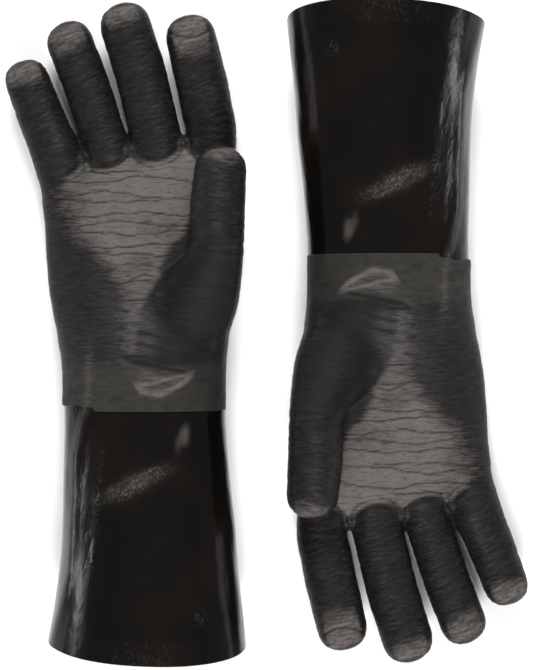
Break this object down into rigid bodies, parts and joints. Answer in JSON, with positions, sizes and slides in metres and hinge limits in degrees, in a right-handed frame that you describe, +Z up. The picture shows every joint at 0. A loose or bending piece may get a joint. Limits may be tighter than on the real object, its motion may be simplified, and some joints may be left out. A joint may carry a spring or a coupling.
{
  "type": "insulating gloves",
  "caption": "Pair of long lined rubber insulating gloves with a ribbed grip coat and smooth gauntlet cuffs, lying palm up with fingers pointing opposite ways.",
  "frame": {"origin": "midway between the two gloves, on the surface that they lie on", "axes": "+Y along glove a towards its fingertips (glove b points the other way), +X from glove a towards glove b, +Z up, out of the palms"},
  "size_m": [0.297, 0.3734, 0.0864],
  "materials": {
    "grip_rubber": "satin black with fine cross wrinkles",
    "smooth_rubber": "glossy black",
    "cotton": "knitted cotton"
  },
  "bodies": {
    "hand_a": {"hand_shell_a": "grip_rubber", "hand_liner_a": "cotton"},
    "cuff_a": {"cuff_a": "smooth_rubber", "wrist_band_a": "grip_rubber", "cuff_liner_a": "cotton"},
    "thumb_a": {"thumb_stall_a": "grip_rubber", "thumb_stall_liner_a": "cotton"},
    "index_base_a": {"index_base_a": "grip_rubber", "index_base_liner_a": "cotton"},
    "index_tip_a": {"index_tip_a": "grip_rubber", "index_tip_liner_a": "cotton"},
    "middle_base_a": {"middle_base_a": "grip_rubber", "middle_base_liner_a": "cotton"},
    "middle_tip_a": {"middle_tip_a": "grip_rubber", "middle_tip_liner_a": "cotton"},
    "ring_base_a": {"ring_base_a": "grip_rubber", "ring_base_liner_a": "cotton"},
    "ring_tip_a": {"ring_tip_a": "grip_rubber", "ring_tip_liner_a": "cotton"},
    "little_base_a": {"little_base_a": "grip_rubber", "little_base_liner_a": "cotton"},
    "little_tip_a": {"little_tip_a": "grip_rubber", "little_tip_liner_a": "cotton"},
    "hand_b": {"hand_shell_b": "grip_rubber", "hand_liner_b": "cotton"},
    "cuff_b": {"cuff_b": "smooth_rubber", "wrist_band_b": "grip_rubber", "cuff_liner_b": "cotton"},
    "thumb_b": {"thumb_stall_b": "grip_rubber", "thumb_stall_liner_b": "cotton"},
    "index_base_b": {"index_base_b": "grip_rubber", "index_base_liner_b": "cotton"},
    "index_tip_b": {"index_tip_b": "grip_rubber", "index_tip_liner_b": "cotton"},
    "middle_base_b": {"middle_base_b": "grip_rubber", "middle_base_liner_b": "cotton"},
    "middle_tip_b": {"middle_tip_b": "grip_rubber", "middle_tip_liner_b": "cotton"},
    "ring_base_b": {"ring_base_b": "grip_rubber", "ring_base_liner_b": "cotton"},
    "ring_tip_b": {"ring_tip_b": "grip_rubber", "ring_tip_liner_b": "cotton"},
    "little_base_b": {"little_base_b": "grip_rubber", "little_base_liner_b": "cotton"},
    "little_tip_b": {"little_tip_b": "grip_rubber", "little_tip_liner_b": "cotton"}
  },
  "joints": [
    {"name": "wrist_flex_a", "type": "hinge", "parent": "hand_a", "child": "cuff_a", "pos_m": [-0.069, -0.02, 0.054], "axis": [-1, 0, 0], "range_deg": [0, 25], "stiffness_Nm_per_rad": 0.6},
    {"name": "thumb_lift_a", "type": "hinge", "parent": "hand_a", "child": "thumb_a", "pos_m": [-0.0278, 0.046, 0.06198], "axis": [0.9994, -0.0349, 0], "range_deg": [0, 35], "stiffness_Nm_per_rad": 0.06},
    {"name": "index_curl_a", "type": "hinge", "parent": "hand_a", "child": "index_base_a", "pos_m": [-0.0314, 0.1134, 0.02812], "axis": [0.9826, 0.1857, 0], "range_deg": [0, 50], "stiffness_Nm_per_rad": 0.06},
    {"name": "index_knuckle_a", "type": "hinge", "parent": "index_base_a", "child": "index_tip_a", "pos_m": [-0.0367, 0.14146, 0.0299], "axis": [0.978, 0.2088, 0], "range_deg": [0, 60], "stiffness_Nm_per_rad": 0.05},
    {"name": "middle_curl_a", "type": "hinge", "parent": "hand_a", "child": "middle_base_a", "pos_m": [-0.0629, 0.1106, 0.02803], "axis": [0.9724, 0.2334, 0], "range_deg": [0, 50], "stiffness_Nm_per_rad": 0.06},
    {"name": "middle_knuckle_a", "type": "hinge", "parent": "middle_base_a", "child": "middle_tip_a", "pos_m": [-0.07136, 0.14585, 0.03031], "axis": [0.9646, 0.2639, 0], "range_deg": [0, 60], "stiffness_Nm_per_rad": 0.05},
    {"name": "ring_curl_a", "type": "hinge", "parent": "hand_a", "child": "ring_base_a", "pos_m": [-0.0916, 0.1066, 0.02553], "axis": [0.9511, 0.309, 0], "range_deg": [0, 50], "stiffness_Nm_per_rad": 0.06},
    {"name": "ring_knuckle_a", "type": "hinge", "parent": "ring_base_a", "child": "ring_tip_a", "pos_m": [-0.10271, 0.14079, 0.02797], "axis": [0.9438, 0.3305, 0], "range_deg": [0, 60], "stiffness_Nm_per_rad": 0.05},
    {"name": "little_curl_a", "type": "hinge", "parent": "hand_a", "child": "little_base_a", "pos_m": [-0.1194, 0.0998, 0.02803], "axis": [0.9272, 0.3746, 0], "range_deg": [0, 50], "stiffness_Nm_per_rad": 0.06},
    {"name": "little_knuckle_a", "type": "hinge", "parent": "little_base_a", "child": "little_tip_a", "pos_m": [-0.12988, 0.12575, 0.02788], "axis": [0.9336, 0.3584, 0], "range_deg": [0, 60], "stiffness_Nm_per_rad": 0.05},
    {"name": "gloves_apart", "type": "slide", "parent": "hand_a", "child": "hand_b", "axis": [1, 0, 0], "range_m": [0, 0.15]},
    {"name": "wrist_flex_b", "type": "hinge", "parent": "hand_b", "child": "cuff_b", "pos_m": [0.069, 0.02, 0.054], "axis": [1, 0, 0], "range_deg": [0, 25], "stiffness_Nm_per_rad": 0.6},
    {"name": "thumb_lift_b", "type": "hinge", "parent": "hand_b", "child": "thumb_b", "pos_m": [0.0278, -0.046, 0.06198], "axis": [-0.9994, 0.0349, 0], "range_deg": [0, 35], "stiffness_Nm_per_rad": 0.06},
    {"name": "index_curl_b", "type": "hinge", "parent": "hand_b", "child": "index_base_b", "pos_m": [0.0314, -0.1134, 0.02812], "axis": [-0.9826, -0.1857, 0], "range_deg": [0, 50], "stiffness_Nm_per_rad": 0.06},
    {"name": "index_knuckle_b", "type": "hinge", "parent": "index_base_b", "child": "index_tip_b", "pos_m": [0.0367, -0.14146, 0.0299], "axis": [-0.978, -0.2088, 0], "range_deg": [0, 60], "stiffness_Nm_per_rad": 0.05},
    {"name": "middle_curl_b", "type": "hinge", "parent": "hand_b", "child": "middle_base_b", "pos_m": [0.0629, -0.1106, 0.02803], "axis": [-0.9724, -0.2334, 0], "range_deg": [0, 50], "stiffness_Nm_per_rad": 0.06},
    {"name": "middle_knuckle_b", "type": "hinge", "parent": "middle_base_b", "child": "middle_tip_b", "pos_m": [0.07136, -0.14585, 0.03031], "axis": [-0.9646, -0.2639, 0], "range_deg": [0, 60], "stiffness_Nm_per_rad": 0.05},
    {"name": "ring_curl_b", "type": "hinge", "parent": "hand_b", "child": "ring_base_b", "pos_m": [0.0916, -0.1066, 0.02553], "axis": [-0.9511, -0.309, 0], "range_deg": [0, 50], "stiffness_Nm_per_rad": 0.06},
    {"name": "ring_knuckle_b", "type": "hinge", "parent": "ring_base_b", "child": "ring_tip_b", "pos_m": [0.10271, -0.14079, 0.02797], "axis": [-0.9438, -0.3305, 0], "range_deg": [0, 60], "stiffness_Nm_per_rad": 0.05},
    {"name": "little_curl_b", "type": "hinge", "parent": "hand_b", "child": "little_base_b", "pos_m": [0.1194, -0.0998, 0.02803], "axis": [-0.9272, -0.3746, 0], "range_deg": [0, 50], "stiffness_Nm_per_rad": 0.06},
    {"name": "little_knuckle_b", "type": "hinge", "parent": "little_base_b", "child": "little_tip_b", "pos_m": [0.12988, -0.12575, 0.02788], "axis": [-0.9336, -0.3584, 0], "range_deg": [0, 60], "stiffness_Nm_per_rad": 0.05}
  ]
}
